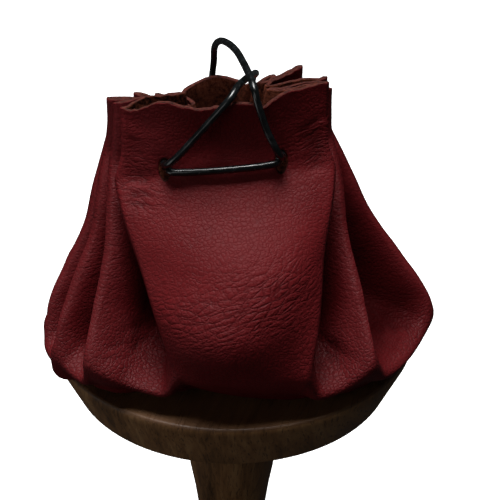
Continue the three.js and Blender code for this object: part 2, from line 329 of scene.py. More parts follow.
@dataclass(frozen=True)
class GrainLeather:
    """Pebble-grained leather, dyed through, with fine creases; its grooves, creases, tucks and fold troughs are
    darkened with painted shade, and its high places are painted paler, partly as rubbed wear and partly as painted
    highlight.
    """

    # The hollow colour is painted shade in the tucks and fold troughs; the deep colour is the leather's own darker
    # tone and also painted shade in the creases; the worn colour is its own paler tone and also painted highlight on
    # the high places.
    hollow: Colour = (0.014, 0.0008, 0.0010)
    deep: Colour = (0.045, 0.0019, 0.0027)
    body: Colour = (0.130, 0.0085, 0.0105)
    worn_and_highlight: Colour = (0.165, 0.0150, 0.0180)
    pebble: float = 1.15
    fine_pebble: float = 0.5
    wander: float = 1.8
    crease_size: Triple = (5.0, 5.0, 1.3)
    crack_size: Triple = (4.4, 4.4, 1.3)
    slant: float = 20.0
    roughness: tuple[float, float] = (0.46, 0.60)
    # Heights in the relief, as shares of its depth.
    pebble_height: float = 0.4
    marked_pebble_height: float = 0.5
    fine_height: float = 0.1
    swell_height: float = 0.4
    level_height: float = 0.6
    relief_strength: float = 0.55
    relief_depth: float = 0.45
    # How much of each tone is laid on the colour; the grooves, creases, tucks and fold troughs get painted shade,
    # and the worn tone on the high places is partly rubbed wear and partly painted highlight.
    evenness: float = 0.7
    groove_shade_share: float = 0.7
    crease_shade_share: float = 0.5
    wear_and_highlight_share: float = 0.4
    tuck_shade_share: float = 0.8
    trough_shade_share: float = 0.9

    def material(self) -> bpy.types.Material:
        """Makes the finish.

        Returns:
            The material.
        """
        bench = Bench("grain_leather")
        place = bench.position()
        strayed = self.stray(bench, place)
        edges = [bench.cells(strayed, 1 / (size * MM)) for size in (self.pebble, self.fine_pebble)]
        coarse = bench.grey_ramp(edges[0], (0.0, 0.0), (0.10, 0.55), (0.34, 1.0))
        fine = bench.grey_ramp(edges[1], (0.0, 0.0), (0.30, 1.0))
        broad = bench.noise(place, scale=45.0, detail=4.0, roughness=0.6)
        swell = bench.noise(place, scale=420.0, detail=3.0)
        marks = {kind: self.mark(bench, kind.value) for kind in Relief}
        sunk, lines = self.creases(bench, strayed, marks)
        raised = bench.math("MULTIPLY_ADD", marks[Relief.PEBBLE], self.marked_pebble_height, self.pebble_height)
        pebbles = bench.math("ADD", bench.times(coarse, raised), bench.times(fine, self.fine_height))
        grain = bench.math("ADD", pebbles, bench.times(swell, self.swell_height))
        bench.bump(bench.math("SUBTRACT", grain, sunk), self.relief_strength, self.relief_depth)
        tone = bench.ramp(broad, (0.30, self.deep), (0.52, self.body), (0.78, self.worn_and_highlight))
        evened_tone = bench.mix(self.evenness, tone, (*self.body, 1.0))
        # Painted shade in the grooves between the pebbles, down to half the colour there.
        groove_shade = bench.grey_ramp(edges[0], (0.0, 0.5), (0.12, 1.0))
        colour_with_painted_light = bench.mix(bench.times(raised, self.groove_shade_share), evened_tone, groove_shade, "MULTIPLY")
        # Painted shade in the fold troughs, from the mask that the pouch stores on its points.
        painted_trough_shade = self.mark(bench, "painted_trough_shade")
        # Painted light laid on the colour: shade in the creases, tucks and fold troughs, and paleness on the high
        # places that is partly rubbed wear and partly painted highlight.
        for strength, share, colour in (
            (lines, self.crease_shade_share, self.deep),
            (self.mark(bench, "wear_and_highlight"), self.wear_and_highlight_share, self.worn_and_highlight),
            (self.mark(bench, "pressed"), self.tuck_shade_share, self.hollow),
            (painted_trough_shade, self.trough_shade_share, self.hollow),
        ):
            colour_with_painted_light = bench.mix(bench.times(strength, share), colour_with_painted_light, (*colour, 1.0))
        gloss = bench.add("ShaderNodeMapRange", Value=broad, To_Min=self.roughness[0], To_Max=self.roughness[1])
        # The same painted shade mask takes the specular out of the fold troughs, so they show no highlight.
        shine = bench.grey_ramp(painted_trough_shade, (0.0, 0.11), (0.2, 0.15), (0.45, 0.05), (1.0, 0.01))
        bench.dress(Base_Color=colour_with_painted_light, Roughness=gloss.outputs["Result"], Specular_IOR_Level=shine)
        return bench.material

    @staticmethod
    def mark(bench: Bench, name: str) -> Socket:
        """Returns one of the piece's stored marks."""
        return bench.add("ShaderNodeAttribute", {"attribute_name": name}).outputs["Fac"]

    def stray(self, bench: Bench, place: Socket) -> Socket:
        """Coordinates that wander a little, so no row of pebbles runs straight.

        Args:
            bench: The material's bench.
            place: The piece's own coordinates.

        Returns:
            The wandering coordinates.
        """
        wander = bench.add("ShaderNodeTexNoise", Vector=place, Scale=160.0, Detail=2.0)
        strayed = bench.add("ShaderNodeVectorMath", {"operation": "MULTIPLY_ADD"})
        bench.feed(strayed.inputs[0], wander.outputs["Color"])
        bench.feed(strayed.inputs[1], (self.wander * MM,) * 3)
        bench.feed(strayed.inputs[2], place)
        return strayed.outputs[0]

    def creases(self, bench: Bench, place: Socket, marks: dict[Relief, Socket]) -> tuple[Socket, Socket]:
        """Level creases across the folds and slanting cushions, each where its mark is.

        Args:
            bench: The material's bench.
            place: The coordinates.
            marks: How strong each relief is.

        Returns:
            How deep the surface lies, and the narrow lines of the creases that get painted shade, both from 0 to 1.
        """
        flat = bench.mapped(place, Scale=tuple(1 / (size * MM) for size in self.crease_size))
        waves = bench.noise(flat, scale=1.0, detail=1.5)
        lines = bench.grey_ramp(waves, (0.42, 0.0), (0.5, 1.0), (0.58, 0.0))
        turned = bench.mapped(place, Rotation=(0, math.radians(self.slant), 0))
        drawn = bench.mapped(turned, Scale=tuple(1 / (size * MM) for size in self.crack_size))
        cracks = bench.cells(drawn, 1.0)
        cushions = bench.grey_ramp(cracks, (0.0, 1.0), (0.10, 0.5), (0.34, 0.0))
        # Painted shade in the grooves of the slanting cushions.
        groove_shade = bench.grey_ramp(cracks, (0.0, 1.0), (0.07, 0.0))
        slant = marks[Relief.SLANT]
        levelled = bench.times(lines, marks[Relief.LEVEL])
        sunk = bench.math("MAXIMUM", bench.times(levelled, self.level_height), bench.times(cushions, slant))
        return sunk, bench.math("MAXIMUM", levelled, bench.times(groove_shade, slant))


@dataclass(frozen=True)
class Suede:
    """The leather's napped flesh side."""

    dark: Colour = (0.012, 0.0028, 0.0018)
    light: Colour = (0.210, 0.0560, 0.0300)
    nap_share: float = 0.6
    nap_strength: float = 0.9
    nap_depth: float = 0.7
    roughness: float = 0.95
    shine: float = 0.05

    def material(self) -> bpy.types.Material:
        """Makes the finish.

        Returns:
            The material.
        """
        bench = Bench("suede")
        place = bench.position()
        nap = bench.noise(place, scale=900.0, detail=6.0, roughness=0.7)
        patch = bench.noise(place, scale=90.0, detail=3.0)
        blend = bench.blend(nap, patch, self.nap_share)
        bench.bump(nap, self.nap_strength, self.nap_depth)
        bench.dress(
            Base_Color=bench.ramp(blend, (0.40, self.dark), (0.62, self.light)),
            Roughness=self.roughness,
            Specular_IOR_Level=self.shine,
        )
        return bench.material


@dataclass(frozen=True)
class CutEdge:
    """The raw edge of the leather, paler where the dye is cut through."""

    dark: Colour = (0.014, 0.0024, 0.0018)
    light: Colour = (0.120, 0.0260, 0.0170)
    fibre_strength: float = 0.7
    fibre_depth: float = 0.3
    roughness: float = 0.85
    shine: float = 0.2

    def material(self) -> bpy.types.Material:
        """Makes the finish.

        Returns:
            The material.
        """
        bench = Bench("cut_edge")
        fibre = bench.noise(bench.position(), scale=1100.0, detail=5.0, roughness=0.7)
        bench.bump(fibre, self.fibre_strength, self.fibre_depth)
        bench.dress(
            Base_Color=bench.ramp(fibre, (0.35, self.dark), (0.65, self.light)),
            Roughness=self.roughness,
            Specular_IOR_Level=self.shine,
        )
        return bench.material


@dataclass(frozen=True)
class WaxedLace:
    """Round black lace, polished by its wax, with a faint lay to its fibres."""

    dark: Colour = (0.0015, 0.0020, 0.0020)
    light: Colour = (0.006, 0.008, 0.009)
    slant: float = 24.0
    lay_strength: float = 0.12
    lay_depth: float = 0.12
    shine: float = 0.6

    def material(self) -> bpy.types.Material:
        """Makes the finish.

        Returns:
            The material.
        """
        bench = Bench("waxed_lace")
        around = bench.add("ShaderNodeUVMap").outputs["UV"]
        slanted = bench.mapped(around, Rotation=(0.0, 0.0, math.radians(self.slant)))
        lay = bench.add("ShaderNodeTexWave", Vector=slanted, Scale=1.3, Distortion=2.5, Detail=2.0)
        rub = bench.noise(bench.position(), scale=500.0, detail=4.0)
        bench.bump(lay.outputs["Fac"], self.lay_strength, self.lay_depth)
        bench.dress(
            Base_Color=bench.ramp(rub, (0.35, self.dark), (0.7, self.light)),
            Roughness=bench.grey_ramp(rub, (0.3, 0.15), (0.75, 0.34)),
            Specular_IOR_Level=self.shine,
        )
        return bench.material


@dataclass(frozen=True)
class TurnedWood:
    """Dark oiled hardwood with open pores, its upper face darkened with painted shade where the pouch's shadow
    falls.
    """

    grain: Grain
    # The face colour is painted shade for the top's upper face, under the pouch.
    face: Colour = (0.060, 0.0250, 0.0100)
    dark: Colour = (0.060, 0.0260, 0.0075)
    body: Colour = (0.215, 0.1010, 0.0360)
    light: Colour = (0.330, 0.1800, 0.0740)
    slant: float = 18.0
    waviness: float = 0.4
    # Fineness and detail of the streaks.
    figure: tuple[float, float] = (150.0, 4.0)
    fibre: tuple[float, float] = (900.0, 3.0)
    pore: tuple[float, float] = (2400.0, 1.0)
    figure_share: float = 0.65
    pore_tone: float = 0.5
    fibre_height: float = 0.5
    relief_strength: float = 0.5
    relief_depth: float = 0.2
    shine: float = 0.4
    # The painted shade on the face starts and is full at these depths below the top, in millimetres.
    face_shade_start: float = 1.0
    face_shade_full: float = 0.5
    face_shade_share: float = 0.75

    def streaks(self, bench: Bench, place: Socket, fineness: float, detail: float) -> Socket:
        """Noise that is drawn out along the grain.

        Args:
            bench: The material's bench.
            place: The piece's own coordinates.
            fineness: How fine the streaks are across the grain.
            detail: The noise's detail.

        Returns:
            The noise.
        """
        turned = bench.mapped(place, Rotation=(0, 0, math.radians(self.slant)))
        drawn = bench.mapped(turned, Scale=tuple(fineness * way for way in self.grain.value))
        node = bench.add("ShaderNodeTexNoise", Vector=drawn, Scale=1.0, Detail=detail, Distortion=self.waviness)
        return node.outputs["Fac"]

    def material(self) -> bpy.types.Material:
        """Makes the finish.

        Returns:
            The material.
        """
        bench = Bench(f"turned_wood_{self.grain.name.lower()}")
        place = bench.position()
        figure = self.streaks(bench, place, *self.figure)
        fibres = self.streaks(bench, place, *self.fibre)
        pores = bench.grey_ramp(self.streaks(bench, place, *self.pore), (0.30, 0.0), (0.42, 1.0))
        blend = bench.blend(figure, fibres, self.figure_share)
        tone = bench.ramp(blend, (0.34, self.dark), (0.52, self.body), (0.68, self.light))
        relief = bench.math("ADD", pores, bench.times(fibres, self.fibre_height))
        bench.bump(relief, self.relief_strength, self.relief_depth)
        # Painted shade on the top's upper face, which lies in the pouch's shadow.
        face_shade_mask = bench.add(
            "ShaderNodeMapRange",
            Value=bench.add("ShaderNodeSeparateXYZ", Vector=place).outputs["Z"],
            From_Min=(STAND_TOP - self.face_shade_start) * MM,
            From_Max=(STAND_TOP - self.face_shade_full) * MM,
            To_Max=self.face_shade_share,
        ).outputs["Result"]
        wood = bench.mix(self.pore_tone, tone, pores, "MULTIPLY")
        bench.dress(
            Base_Color=bench.mix(face_shade_mask, wood, (*self.face, 1.0)),
            Roughness=bench.grey_ramp(fibres, (0.3, 0.42), (0.7, 0.62)),
            Specular_IOR_Level=self.shine,
        )
        return bench.material


# The leather


@dataclass(frozen=True)
class Section:
    """One section of the gathered leather, in millimetres above the stand.

    flat is the way along the leather from the middle of the cut circle. ridge and valley are the radii at the
    folds' crests and troughs. bulge is how far the front panel stands before the chord between its edges, and
    skew how much more of that it does on its right. gather runs from 0 at the belly to 1 at the drawn neck.
    steep squares the folds up and crisp sharpens their crests.
    """

    flat: float
    ridge: float
    ridge_z: float
    valley: float
    valley_z: float
    bulge: float
    skew: float
    bulge_z: float
    gather: float
    steep: float
    crisp: float


@dataclass(frozen=True)
class Fold:
    """One fold's crest. Azimuths are degrees from the front, towards the right.

    flare is how much wider it stands at the lace than at the rim. share is how much of the way to the trough the
    crest fills, and lie is where the trough after it lies between this crest (0) and the next (1). early is how
    soon it gathers, against the others. cover is how much of that trough's sides is darkened with painted shade,
    and foot how far above the belly that starts, in rows of the table.
    """

    belly_azimuth: float
    neck_azimuth: float
    base_radius: float
    belly_radius: float
    neck_radius: float
    flare: float
    rim_lift: float
    share: float
    lie: float
    early: float
    cover: float
    foot: float


@dataclass(frozen=True)
class Crest:
    """Where a fold's crest or trough is at one section."""

    azimuth: float
    radius: float
    z: float


@dataclass(frozen=True)
class Patch:
    """A soft-edged patch of the leather's surface, in millimetres above the stand."""

    middle: Triple
    reach: Triple
    strength: float

    def at(self, point: Vector) -> float:
        """Returns how strong the patch is at a point."""
        away = sum(((p - m) / r) ** 2 for p, m, r in zip(point, self.middle, self.reach))
        return self.strength * math.exp(-away)


@dataclass(frozen=True)
class Tuck:
    """One line that is pressed into the leather, in millimetres above the stand.

    It fades towards its ends. end is the share of its length where the fading stops, so that a little of it is left.
    """

    start: Triple
    stop: Triple
    width: float
    depth: float
    end: float = 0.02

    def at(self, point: Vector) -> float:
        """Depth of the line at a point.

        Args:
            point: A point in millimetres above the stand.

        Returns:
            From 0 on the plain leather to depth in the middle of the line.
        """
        start, along = Vector(self.start), Vector(self.stop) - Vector(self.start)
        share = clamp((point - start).dot(along) / along.length_squared)
        ends = math.sqrt(math.sin(math.pi * min(1 - self.end, max(self.end, share))))
        return self.depth * ends * bell((point - start - along * share).length, self.width)


@dataclass
class Pouch:
    """The leather body, gathered on its lace. Measures are in millimetres, heights from the stand's top."""

    thickness: float = 1.2
    seat_gap: float = 0.3
    cut_radius: float = 145.0
    neck_x: float = -2.0
    neck_y: float = -3.0
    neck_tilt: float = 0.07
    fold_steps: int = 13
    panel_steps: int = 60
    base_rows: int = 6
    base_reach: float = 44.0
    row_step: float = 0.95
    hole_width: float = 3.6
    hole_height: float = 6.4
    hole_sides: int = 32
    punch_length: float = 10.0
    # How deep and how wide the leather is drawn in at a hole.
    dimple_depth: float = 0.8
    dimple_reach: float = 4.5
    # Share of a fold's rim lift that it has at the lace, and how much squarer it is at its trough.
    neck_lift: float = 0.35
    trough_steep: float = 1.4
    # The least painted shade in a fold, and the rows over which it comes to the full.
    least_trough_shade: float = 0.2
    trough_shade_rows: float = 0.5
    # Joining and easing of the gathered blank.
    weld_gap: float = 0.002
    least_edge: float = 0.001
    ease: float = 0.5
    ease_rounds: int = 2
    # Heights where the unevenness and the ragged rim start, and over which they come to the full.
    uneven_from: float = 2.0
    uneven_over: float = 6.0
    ragged_from: float = 71.0
    ragged_over: float = 8.0
    # How fast the paler colour of the high places grows with their height: partly rubbed wear, partly painted
    # highlight.
    wear_and_highlight_gain: float = 9.0

    # Waves of the soft unevenness and of the ragged rim: height and size.
    UNEVEN = ((0.4, 17.0), (0.15, 7.0))
    RAGGED = ((0.5, 1.6), (1.1, 7.0))
    SECTIONS = {
        "base_middle": Section(26, 26, 0, 26, 0, 1.2, 0, 0, 0, 1, 0),
        "base_edge": Section(50, 50, 0, 49.4, 0, 0.6, 0, 0, 0, 1, 0),
        "turn": Section(56, 55, 3.4, 54.4, 3.4, 2.4, 0, 0, 0, 1, 0.1),
        "belly": Section(67, 59.5, 13.5, 57, 6.8, 2.2, -0.5, 0, 0, 1.1, 0.5),
        "hip": Section(83.6, 50.6, 27.5, 30, 15, 10.8, -0.25, 0, 0.28, 1.3, 0.85),
        "slope": Section(100.9, 40.6, 41, 20.5, 32.5, 11.4, 0.45, 0.4, 0.54, 1.6, 0.85),
        "shoulder": Section(114.7, 34.8, 53.5, 14.5, 49.5, 3.4, 0.2, 0.6, 0.79, 2.2, 0.6),
        "lace": Section(126, 30.2, 64, 11.5, 63, 3.2, 0, 0.6, 1, 2.8, 0.3),
        "collar": Section(135.4, 29.4, 73.4, 11.5, 72.4, 3.4, 0, 0.4, 1, 2.6, 0.3),
        "rim": Section(145, 29.4, 82.4, 12.5, 80.6, 4.2, 0, 0, 1, 2.2, 0.3),
    }
    FOLDS = {
        "right_edge": Fold(21, 60, 48, 56.5, 33, 0, 0, 0.45, 0.32, 1.08, 1.6, 0.65),
        "right_second": Fold(40, 84, 53.5, 60.5, 30.5, 0, -6, 0.36, 0.34, 1, 6, -0.08),
        "right_third": Fold(77, 105, 59.5, 60.6, 30.8, 0, -6.5, 0.2, 0.4, 1, 3, 0.1),
        "right_fourth": Fold(104, 121, 55, 55, 26.5, 0, -4.5, 0.5, 0.45, 1, 1.6, 0.1),
        "right_fifth": Fold(128, 132, 54, 55, 25.5, 0, -8, 0.45, 0.5, 1, 1.6, 0.1),
        "right_back": Fold(153, 144, 54, 55, 25, 0, -10, 0.45, 0.2, 1, 1.6, 0.1),
        "back": Fold(187, 196, 54, 54.5, 22.5, 0, -11, 0.8, 0.88, 1, 1.6, 0.1),
        "left_back": Fold(222, 234, 53, 54, 25.5, 0, -11.5, 0.5, 0.5, 1, 1.6, 0.1),
        "left_fifth": Fold(257, 250, 53, 52.5, 28.5, 0, -10, 0.5, 0.55, 1, 1.6, 0.1),
        "left_fourth": Fold(290, 263, 58, 57, 34.4, 0.8, -7.5, 0.35, 0.6, 1, 2.2, 0.1),
        "left_third": Fold(304, 274, 61, 59.5, 33.6, 0.8, -6, 0.3, 0.7, 1, 3, 0.15),
        "left_second": Fold(319, 287, 54, 61, 32.8, 0.7, -4, 0.4, 0.68, 1, 1.2, 0.7),
        "left_edge": Fold(345.4, 301, 40.5, 53.5, 33.4, 0, 0, 0.45, 0.5, 1.08, 1.6, 0.1),
    }
    # The middles of the two front holes.
    HOLES = {"left": Vector((-18.1, -22.0, 62.5)), "right": Vector((13.4, -22.0, 64.7))}
    # Where the front rim dips: place across the panel from -1 to 1, width there, and depth.
    RIM_DIPS = ((-0.25, 0.16, 1.8), (0.12, 0.3, 1.6), (0.36, 0.09, 2.2))
    # Where each fine relief of the grain is strong.
    CREASES = {
        Relief.LEVEL: (
            Patch((-24, -21, 62), (9, 8, 13), 0.7),
            Patch((-25, -24, 55), (7, 6, 4), 0.8),
            Patch((0, -30, 52), (22, 14, 9), 0.25),
            Patch((46, -20, 13), (10, 12, 5), 0.9),
            Patch((-37, -24, 34), (12, 16, 22), 0.65),
            Patch((36, -24, 34), (14, 18, 24), 0.55),
            Patch((0, 25, 35), (60, 22, 26), 0.45),
        ),
        Relief.SLANT: (
            Patch((-10, -49, 31), (18, 16, 8), 1.0),
            Patch((12, -47, 38), (15, 16, 9), 1.0),
            Patch((22, -21, 69), (7, 8, 8), 0.9),
            Patch((-26, -39, 12), (13, 12, 8), 0.35),
            Patch((28, -40, 12), (11, 12, 9), 0.35),
            Patch((0, 30, 10), (70, 30, 10), 0.4),
        ),
        Relief.PEBBLE: (
            Patch((-26, -39, 11), (15, 13, 9), 1.0),
            Patch((28, -40, 11), (13, 13, 9), 1.0),
            Patch((48, -24, 9), (11, 13, 6), 0.7),
            Patch((-46, -22, 9), (12, 13, 8), 0.7),
            Patch((0, -54, 24), (26, 14, 9), 0.5),
            Patch((0, -23, 76), (32, 12, 10), 0.4),
            Patch((0, 30, 12), (70, 30, 12), 0.7),
        ),
    }
    # Where the front panel is pressed in or swells, along the surface.
    HOLLOWS = (Patch((-2, -23, 70), (11, 9, 9), 1.5), Patch((-2, -23, 62.5), (16, 6, 3), -0.5))
    # Where the rim's front corners lean back.
    LEANS = (Patch((23, -20, 84), (10, 14, 13), 3.3), Patch((-27, -20, 82), (10, 14, 13), 3.1))
    # Where the rim stands higher or lower.
    LIFTS = (
        Patch((-4.5, 17, 72), (5, 8, 9), 1.6),
        Patch((3.8, 8.5, 70), (4, 5, 9), 3.4),
        Patch((-27, -21, 82), (8, 6, 8), -3.3),
        Patch((-31, -9, 79), (8, 6, 8), 1.0),
        Patch((-27, 6, 71), (5, 6, 8), 1.5),
    )
    # Lines in the collar beside the holes, and at the feet of the folds.
    TUCKS = (
        Tuck((16.9, -20.9, 72), (26, -19.2, 76.4), 1.1, 0.6),
        Tuck((17.5, -20.9, 69.9), (26, -19.2, 73.2), 1.1, 0.8),
        Tuck((18.4, -20.9, 68.2), (26, -19.2, 70.9), 1.1, 0.8),
        Tuck((19.2, -20.9, 66.7), (26.2, -19.3, 68.9), 1.1, 0.8),
        Tuck((18.5, -21.2, 64.7), (26.1, -19.4, 66.9), 1.1, 0.8),
        Tuck((19.3, -21.2, 63.2), (25.8, -19.9, 65.3), 1.1, 0.7),
        Tuck((19.9, -21.7, 61.7), (25.9, -20.3, 63.4), 1.1, 0.6),
        Tuck((-29, -19.9, 71), (-22.6, -21.2, 68), 1.2, 0.4),
        Tuck((-29.4, -19.8, 67.9), (-22.1, -21.5, 65.8), 1.2, 0.5),
        Tuck((-29.8, -19.9, 65), (-22.2, -21.7, 64.1), 1.2, 0.5),
        Tuck((-29.9, -20.2, 63.1), (-21.7, -22, 61.8), 1.1, 0.55),
        Tuck((-29.7, -20.7, 61.2), (-21.4, -22.5, 59.7), 1.1, 0.6),
        Tuck((-29.2, -21.5, 58.9), (-21.7, -22.9, 59), 1.1, 0.6),
        Tuck((-29.1, -24.5, 55.5), (-21.4, -25.2, 56.5), 1.1, 0.6),
        Tuck((-28.5, -26.1, 53.9), (-21.6, -27.5, 54), 1.1, 0.6),
        Tuck((-24, -25.1, 26.5), (-25.2, -29.5, 19.3), 1.2, 0.8),
        Tuck((-25.2, -29.5, 19.3), (-29, -36.4, 16.4), 1.2, 0.8),
        Tuck((-29, -36.4, 16.4), (-35.7, -42.7, 17.3), 1.2, 0.7),
        Tuck((-23, -26.8, 19.6), (-24.1, -30.8, 15.4), 1.2, 0.8),
        Tuck((-24.1, -30.8, 15.4), (-28.9, -39.1, 13.5), 1.2, 0.8),
        Tuck((-28.9, -39.1, 13.5), (-36.6, -45.3, 15.1), 1.2, 0.6),
        Tuck((-27.5, -32.1, 19.6), (-33.2, -39, 18.8), 1.2, 0.6),
        Tuck((35.9, -35.5, 27.4), (50.5, -15.5, 14), 1.4, 0.7),
        Tuck((40.2, -23, 12.6), (54, -17.4, 11.5), 1.4, 0.7),
        Tuck((40.2, -23, 10.9), (54.7, -19.9, 9.6), 1.4, 0.7),
        Tuck((24.4, -31.6, 14.9), (32.6, -42.8, 14.1), 1.2, 0.7),
        Tuck((24.4, -33.9, 13), (31.3, -43.3, 11.8), 1.2, 0.7),
        Tuck((27.6, -34.9, 15.4), (35.6, -45.5, 14.3), 1.2, 0.5),
    )

    def level(self, place: float) -> Section:
        """Returns the section at a whole or part row number of the table."""
        rows = list(self.SECTIONS.values())
        return Section(*(hermite([getattr(row, f.name) for row in rows], place) for f in fields(Section)))

    def number(self, name: str) -> int:
        """Returns a section's row number."""
        return list(self.SECTIONS).index(name)

    def place_of(self, flat: float) -> float:
        """Row number at a way along the leather.

        Args:
            flat: The way from the middle of the cut circle.

        Returns:
            The whole or part row number.
        """
        ways = [section.flat for section in self.SECTIONS.values()]
        for index, (low, high) in enumerate(zip(ways, ways[1:])):
            if flat <= high:
                return index + max(0.0, (flat - low) / (high - low))
        return len(ways) - 1.0

    def past_lace(self, place: float) -> float:
        """Returns how far a row lies above the lace, up to 1 at the rim."""
        lace, rim = self.number("lace"), self.number("rim")
        return max(0.0, (place - lace) / (rim - lace))

    def polar(self, level: Section, azimuth: float, radius: float, z: float) -> Vector:
        """A point about the pouch's axis, which leans to the neck as the leather gathers.

        Args:
            level: The section.
            azimuth: Degrees from the front, towards the right.
            radius: Distance from the axis.
            z: Height above the stand, before the neck's tilt.

        Returns:
            The point.
        """
        lean = min(1.0, level.gather)
        turn = math.radians(azimuth)
        x = self.neck_x * lean + radius * math.sin(turn)
        y = self.neck_y * lean - radius * math.cos(turn)
        return Vector((x, y, z + self.neck_tilt * lean * (x - self.neck_x)))

    def crest_scale(self, fold: Fold, level: Section, place: float) -> float:
        """How a fold's crest stands to the section's own radius, from the base up to the neck.

        Args:
            fold: The fold.
            level: The section.
            place: The section's row number.

        Returns:
            The share of the section's radius.
        """
        edge, turn, belly, lace = (self.number(n) for n in ("base_edge", "turn", "belly", "lace"))
        rows = list(self.SECTIONS.values())
        base_scale = fold.base_radius / rows[turn].ridge
        belly_scale = fold.belly_radius / rows[belly].ridge
        neck_scale = fold.neck_radius / rows[lace].ridge
        if place < turn:
            return 1 + (base_scale - 1) * min(1.0, place / edge)
        if place < belly:
            return base_scale + (belly_scale - base_scale) * (place - turn) / (belly - turn)
        return belly_scale + (neck_scale - belly_scale) * min(1.0, level.gather * fold.early)

    def crest(self, fold: Fold, level: Section, place: float) -> Crest:
        """Where a fold's crest is at a section: its plan is straight from the belly to the neck.

        Args:
            fold: The fold.
            level: The section.
            place: The section's row number.

        Returns:
            The crest.
        """
        mix = min(1.0, level.gather * fold.early)
        lift = self.neck_lift * mix + (1 - self.neck_lift) * self.past_lace(place)
        flare = fold.flare * bell(place - self.number("lace"), 1.0)
        start, swing = math.radians(fold.belly_azimuth), math.radians(fold.neck_azimuth - fold.belly_azimuth)
        ahead = (1 - mix) * fold.belly_radius + mix * fold.neck_radius * math.cos(swing)
        aside = mix * fold.neck_radius * math.sin(swing)
        return Crest(
            math.degrees(start + math.atan2(aside, ahead)),
            level.ridge * self.crest_scale(fold, level, place) + flare,
            level.ridge_z + fold.rim_lift * lift,
        )

    @staticmethod
    def trough(level: Section, near: Crest, far: Crest, lie: float) -> Crest:
        """Where the trough between two crests is.

        Args:
            level: The section.
            near: The crest before it.
            far: The crest after it.
            lie: Where it lies between them, from 0 to 1.

        Returns:
            The trough.
        """
        between = (near.radius + (far.radius - near.radius) * lie) / level.ridge
        return Crest(
            near.azimuth + (far.azimuth - near.azimuth) * lie,
            level.valley * (between + (1 - between) * min(1.0, level.gather)),
            level.valley_z + (near.z + far.z) / 2 - level.ridge_z,
        )

    @staticmethod
    def height(level: Section, step: float) -> float:
        """How high a half fold stands at a section.

        Args:
            level: The section.
            step: 0 at the crest, 1 at the trough.

        Returns:
            From 1 at the crest to 0 in the trough.
        """
        round_height = (1 + math.cos(math.pi * step)) / 2
        sharp_height = 1 - math.sin(math.pi * step / 2)
        return round_height + (sharp_height - round_height) * level.crisp

    def half_fold(self, level: Section, crest: Crest, trough: Crest, share: float, step: float) -> Vector:
        """A point of the leather's middle between a crest and the trough beside it.

        Args:
            level: The section.
            crest: The crest that the half fold starts from.
            trough: The trough that it ends in.
            share: How much of the way to the trough the crest fills.
            step: 0 at the crest, 1 at the trough.

        Returns:
            The point.
        """
        height = self.height(level, step)
        half = abs(2 * step - 1)
        if step < 0.5:
            turn = share * (1 - half**level.steep)
        else:
            turn = share + (1 - share) * half ** (level.steep * self.trough_steep)
        return self.polar(
            level,
            crest.azimuth + (trough.azimuth - crest.azimuth) * turn,
            trough.radius + (crest.radius - trough.radius) * height,
            trough.z + (crest.z - trough.z) * height,
        )

    def ring(self, place: float) -> list[Vector]:
        """One closed section of the leather's middle, anticlockwise from the front panel's right edge.

        Args:
            place: The section's row number.

        Returns:
            The points, one per column.
        """
        level = self.level(place)
        folds = list(self.FOLDS.values())
        crests = [self.crest(fold, level, place) for fold in folds]
        steps = [k / self.fold_steps for k in range(self.fold_steps + 1)]
        points: list[Vector] = []
        for (fold, crest), (next_fold, next_crest) in zip(zip(folds, crests), zip(folds[1:], crests[1:])):
            trough = self.trough(level, crest, next_crest, fold.lie)
            points += [self.half_fold(level, crest, trough, fold.share, s) for s in steps[:-1]]
            points += [self.half_fold(level, next_crest, trough, next_fold.share, s) for s in steps[:0:-1]]
        left, right = (self.polar(level, c.azimuth, c.radius, c.z) for c in (crests[-1], crests[0]))
        forward = Vector((right.y - left.y, left.x - right.x, 0)).normalized()
        above = self.past_lace(place)
        for k in range(self.panel_steps):
            across = 2 * k / self.panel_steps - 1
            bow = 1 - across**2
            point = left.lerp(right, (across + 1) / 2) + forward * level.bulge * bow * (1 + level.skew * across)
            point.z += level.bulge_z * bow
            point.z -= above * sum(depth * bell(across - at, width) for at, width, depth in self.RIM_DIPS)
            points.append(point)
        return points

    def trough_shade(self, place: float) -> list[float]:
        """How much painted shade each column gets at a section, more the deeper it lies in its fold.

        Args:
            place: The section's row number.

        Returns:
            From 0 on the panel, the crests and the foot to 1 in the troughs, one per column.
        """
        level = self.level(place)
        least = self.least_trough_shade * clamp(place - self.number("turn"))
        heights = [self.height(level, k / self.fold_steps) for k in range(self.fold_steps)]
        values: list[float] = []
        for fold in list(self.FOLDS.values())[:-1]:
            rise = clamp((place - self.number("belly") - fold.foot) / self.trough_shade_rows)
            half = [max(least, rise * (1 - height**fold.cover)) for height in heights]
            values += half + [max(least, rise)] + half[:0:-1]
        return values + [0.0] * self.panel_steps

    def row_flats(self) -> list[float]:
        """The rows of the blank, coarse under the pouch and fine above.

        Returns:
            Each row's way from the middle of the cut circle.
        """
        fine = round((self.cut_radius - self.base_reach) / self.row_step)
        base = [self.base_reach * k / self.base_rows for k in range(self.base_rows)]
        return base + [self.base_reach + (self.cut_radius - self.base_reach) * k / fine for k in range(fine + 1)]

